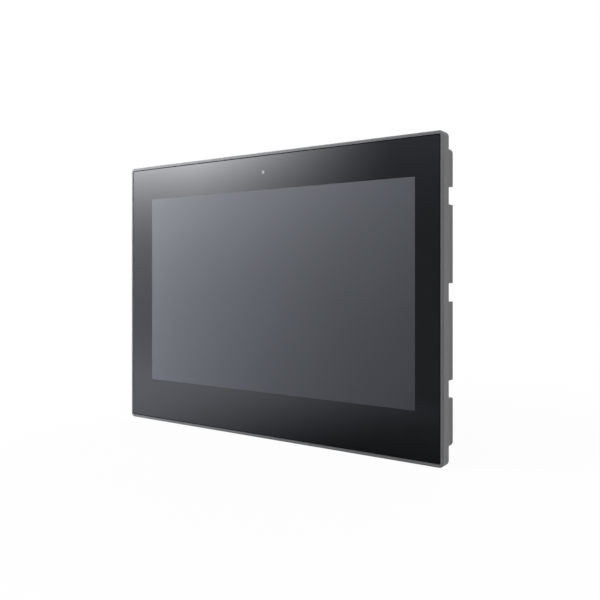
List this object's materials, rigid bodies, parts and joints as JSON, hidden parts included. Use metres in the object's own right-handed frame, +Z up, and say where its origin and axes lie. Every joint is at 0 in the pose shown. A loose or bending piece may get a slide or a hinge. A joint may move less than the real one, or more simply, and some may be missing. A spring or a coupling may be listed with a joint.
{
  "type": "hmi touch panel",
  "caption": "Panel-mount operator touch panel: black glass front with a wide screen in a thin grey frame, and a shallow moulded rear housing with clamp notches and ports.",
  "frame": {"origin": "centre of the plane where the sealing gasket meets the cabinet's panel", "axes": "+X to the right seen from the front, +Y from the front to the rear, +Z up; the glass faces -Y"},
  "size_m": [0.3084, 0.042, 0.2304],
  "materials": {
    "frame_paint": "satin grey paint on cast aluminium",
    "housing_plastic": "fine moulded texture",
    "cover_glass": "polished, clear",
    "border_ink": "black print under glass",
    "sensor_glass": "clear laminated film",
    "display_polariser": "grey anti-glare polariser",
    "black_foam": "closed-cell foam",
    "gasket_rubber": "moulded rubber",
    "light_pipe": "clear moulded acrylic",
    "lamp_lens": "clear lamp lens",
    "clear_acrylic": "polished acrylic",
    "diffuser_white": "satin white film",
    "circuit_board": "green solder mask",
    "sheet_steel": "zinc-plated sheet",
    "screw_steel": "zinc-plated",
    "shell_steel": "nickel-plated",
    "cell_steel": "stainless cell can",
    "pin_metal": "tin-plated",
    "brass": "bright",
    "chip_black": "moulded black",
    "pad_grey": "soft thermal filler",
    "sink_aluminium": "extruded",
    "capacitor_sleeve": "shrink sleeve",
    "coil_ferrite": "ferrite",
    "connector_ivory": "moulded ivory",
    "cable_film": "ribbon film",
    "flex_film": "amber film",
    "switch_blue": "moulded blue",
    "slider_white": "moulded white",
    "inlet_green": "moulded green"
  },
  "bodies": {
    "panel": {"bezel_frame": "frame_paint", "front_glass": "cover_glass", "border_print": "border_ink", "touch_sensor": "sensor_glass", "glass_tape": "black_foam", "panel_gasket": "gasket_rubber", "status_light_pipe": "light_pipe", "status_lamp": "lamp_lens", "status_board": "circuit_board", "dust_gasket": "black_foam", "display_frame": "sheet_steel", "display_cell": "display_polariser", "diffuser_films": "diffuser_white", "light_guide": "clear_acrylic", "backlight_strip": "lamp_lens", "backlight_tray": "sheet_steel", "chassis_plate": "sheet_steel", "chassis_screws": "screw_steel", "board_standoffs": "brass", "control_board": "circuit_board", "board_screws": "screw_steel", "processor": "chip_black", "thermal_pad": "pad_grey", "heat_sink": "sink_aluminium", "memory_chips": "chip_black", "capacitors": "capacitor_sleeve", "power_coils": "coil_ferrite", "display_connector": "connector_ivory", "display_cable": "cable_film", "touch_connector": "connector_ivory", "touch_cable": "flex_film", "battery_holder": "chip_black", "backup_battery": "cell_steel", "setting_switch": "switch_blue", "reset_switch": "chip_black", "power_inlet": "inlet_green", "power_pins": "pin_metal", "serial_shell": "shell_steel", "serial_insert": "chip_black", "serial_jacks": "shell_steel", "network_sockets": "shell_steel", "usb_shells": "shell_steel", "usb_tongues": "connector_ivory", "service_port": "shell_steel", "card_socket": "shell_steel", "port_plate": "sheet_steel", "plate_screws": "screw_steel", "rear_housing": "housing_plastic", "housing_screws": "screw_steel"},
    "service_door": {"service_door": "housing_plastic"},
    "reset_plunger": {"reset_plunger": "slider_white"},
    "setting_slider_1": {"setting_slider_1": "slider_white"},
    "setting_slider_2": {"setting_slider_2": "slider_white"},
    "setting_slider_3": {"setting_slider_3": "slider_white"},
    "setting_slider_4": {"setting_slider_4": "slider_white"}
  },
  "joints": [
    {"name": "door_hinge", "type": "hinge", "parent": "panel", "child": "service_door", "pos_m": [0.0964, 0.0296, 0.022], "axis": [0, 0, -1], "range_deg": [0, 95]},
    {"name": "reset_push", "type": "slide", "parent": "panel", "child": "reset_plunger", "axis": [0, -1, 0], "range_m": [0, 0.0005], "stiffness_N_per_m": 2000},
    {"name": "setting_slide_1", "type": "slide", "parent": "panel", "child": "setting_slider_1", "axis": [1, 0, 0], "range_m": [0, 0.0018]},
    {"name": "setting_slide_2", "type": "slide", "parent": "panel", "child": "setting_slider_2", "axis": [1, 0, 0], "range_m": [0, 0.0018]},
    {"name": "setting_slide_3", "type": "slide", "parent": "panel", "child": "setting_slider_3", "axis": [1, 0, 0], "range_m": [0, 0.0018]},
    {"name": "setting_slide_4", "type": "slide", "parent": "panel", "child": "setting_slider_4", "axis": [1, 0, 0], "range_m": [0, 0.0018]}
  ]
}
